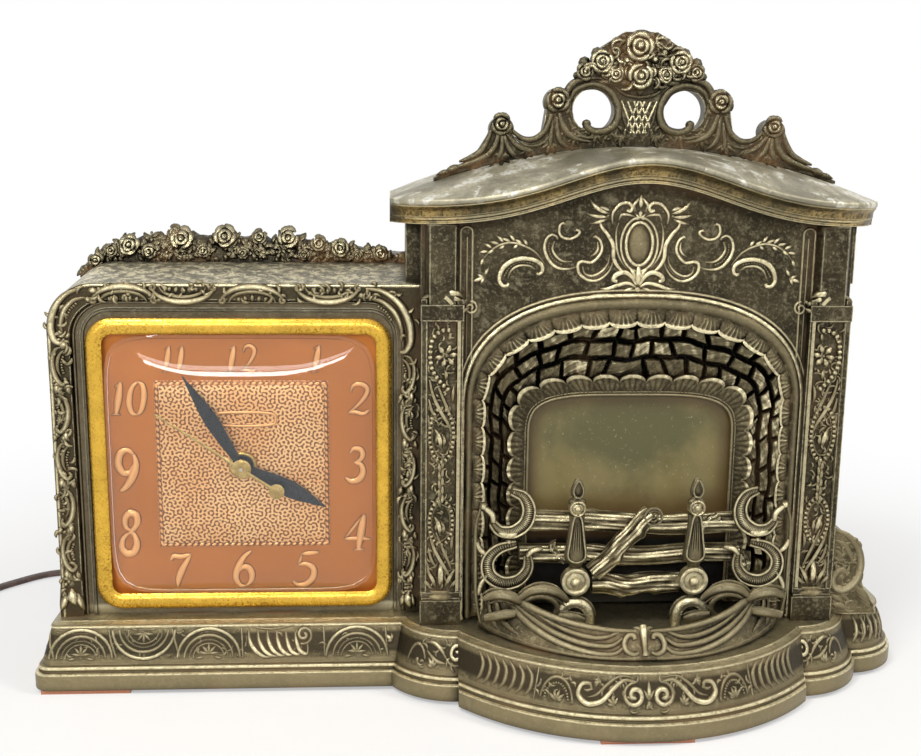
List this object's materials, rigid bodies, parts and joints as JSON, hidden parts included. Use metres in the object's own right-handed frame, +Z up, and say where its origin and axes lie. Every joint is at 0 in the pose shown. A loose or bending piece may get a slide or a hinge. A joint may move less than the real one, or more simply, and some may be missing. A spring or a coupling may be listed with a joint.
{
  "type": "electric mantel clock",
  "caption": "Cast metal electric mantel clock: a square dial with a gilt bezel beside a small lit fireplace with a scrolled crest, on one bow-fronted plinth.",
  "frame": {"origin": "on the table under the middle of the plinth", "axes": "+X to the right as seen from the front, +Y to the back, +Z up"},
  "size_m": [0.5253, 0.2235, 0.2517],
  "materials": {
    "antique_bronze": "cast white metal with an antique bronze wash, worn bright on the high spots",
    "dark_bronze": "dark cast metal, dusty",
    "worn_silver": "cast metal rubbed to silver grey, mottled",
    "terracotta_pad": "thin felt pad, terracotta",
    "gilt": "gilt, speckled with dark pits",
    "crystal_glass": "clear domed glass",
    "copper_dial": "salmon copper dial, satin, embossed",
    "blued_steel": "black blue lacquer, glossy",
    "train_brass": "plain brass",
    "steel": "plain steel",
    "motor_copper": "copper washed can, satin",
    "core_iron": "laminated iron, japanned",
    "coil_wrap": "coil wrapped in varnished cloth",
    "amber_screen": "translucent film, olive amber, grimy",
    "amber_bulb": "amber tinted glass",
    "flame_film": "thin tinted film",
    "black_bakelite": "dark moulded plastic, worn satin",
    "back_card": "thin sheet painted dark brown",
    "cord_rubber": "aged brown rubber, satin"
  },
  "bodies": {
    "clock": {"base_plinth": "antique_bronze", "foot_pads": "terracotta_pad", "clock_case": "antique_bronze", "rose_garland": "antique_bronze", "fireplace_body": "antique_bronze", "column_left": "antique_bronze", "column_right": "antique_bronze", "mantel_shelf": "worn_silver", "crest": "antique_bronze", "side_volute": "antique_bronze", "dial_surround": "worn_silver", "bezel": "gilt", "crystal": "crystal_glass", "dial_plate": "copper_dial", "dial_collar": "gilt", "hearth_insert": "antique_bronze", "fire_screen": "amber_screen", "fender": "antique_bronze", "andiron_left": "antique_bronze", "andiron_right": "antique_bronze", "log_grate": "dark_bronze", "movement_plate_front": "train_brass", "movement_plate_back": "train_brass", "movement_pillars": "steel", "movement_screws": "steel", "motor_can": "motor_copper", "stator_core": "core_iron", "motor_coil": "coil_wrap", "lamp_bracket": "steel", "lamp_socket": "black_bakelite", "lamp_bulb": "amber_bulb", "clock_back": "back_card", "clock_back_screws": "steel", "firebox_back": "back_card", "firebox_back_screws": "steel", "cord_relief": "cord_rubber", "cord_lead": "cord_rubber", "cord_coil": "cord_rubber", "cord_tail": "cord_rubber", "plug_body": "black_bakelite", "plug_blades": "train_brass"},
    "seconds": {"second_hand": "train_brass", "seconds_arbor": "steel"},
    "rotor": {"motor_pinion": "steel"},
    "intermediate": {"intermediate_wheel": "train_brass"},
    "minutes": {"minute_hand": "blued_steel", "centre_wheel": "train_brass"},
    "minute_idler": {"minute_wheel": "train_brass"},
    "hours": {"hour_hand": "blued_steel", "hour_wheel": "train_brass"},
    "setting": {"set_arbor": "steel", "set_knob": "train_brass"},
    "flicker": {"flame_drum": "flame_film"}
  },
  "joints": [
    {"name": "seconds_turn", "type": "hinge", "parent": "clock", "child": "seconds", "pos_m": [-0.0924, 0.015, 0.087], "axis": [0, 1, 0], "continuous": true},
    {"name": "rotor_turn", "type": "hinge", "parent": "clock", "child": "rotor", "pos_m": [-0.0924, 0.015, 0.0755], "axis": [0, 1, 0], "continuous": true},
    {"name": "intermediate_turn", "type": "hinge", "parent": "clock", "child": "intermediate", "pos_m": [-0.10418, 0.015, 0.0938], "axis": [0, 1, 0], "continuous": true},
    {"name": "minutes_turn", "type": "hinge", "parent": "clock", "child": "minutes", "pos_m": [-0.0924, 0.015, 0.087], "axis": [0, 1, 0], "continuous": true},
    {"name": "minute_idler_turn", "type": "hinge", "parent": "clock", "child": "minute_idler", "pos_m": [-0.08334, 0.015, 0.09123], "axis": [0, 1, 0], "continuous": true},
    {"name": "hours_turn", "type": "hinge", "parent": "clock", "child": "hours", "pos_m": [-0.0924, 0.015, 0.087], "axis": [0, 1, 0], "continuous": true},
    {"name": "setting_turn", "type": "hinge", "parent": "clock", "child": "setting", "pos_m": [-0.07474, 0.015, 0.0852], "axis": [0, 1, 0], "continuous": true},
    {"name": "flicker_turn", "type": "hinge", "parent": "clock", "child": "flicker", "pos_m": [0.0567, 0.03075, 0.1], "axis": [0, 0, 1], "continuous": true}
  ],
  "couplings": [
    {"joint": "rotor_turn", "follows": "seconds_turn", "ratio": -3.6},
    {"joint": "intermediate_turn", "follows": "seconds_turn", "ratio": -0.13333},
    {"joint": "minutes_turn", "follows": "seconds_turn", "ratio": 0.016667},
    {"joint": "minute_idler_turn", "follows": "seconds_turn", "ratio": -0.0055556},
    {"joint": "hours_turn", "follows": "seconds_turn", "ratio": 0.0013889},
    {"joint": "setting_turn", "follows": "seconds_turn", "ratio": 0.013889}
  ]
}
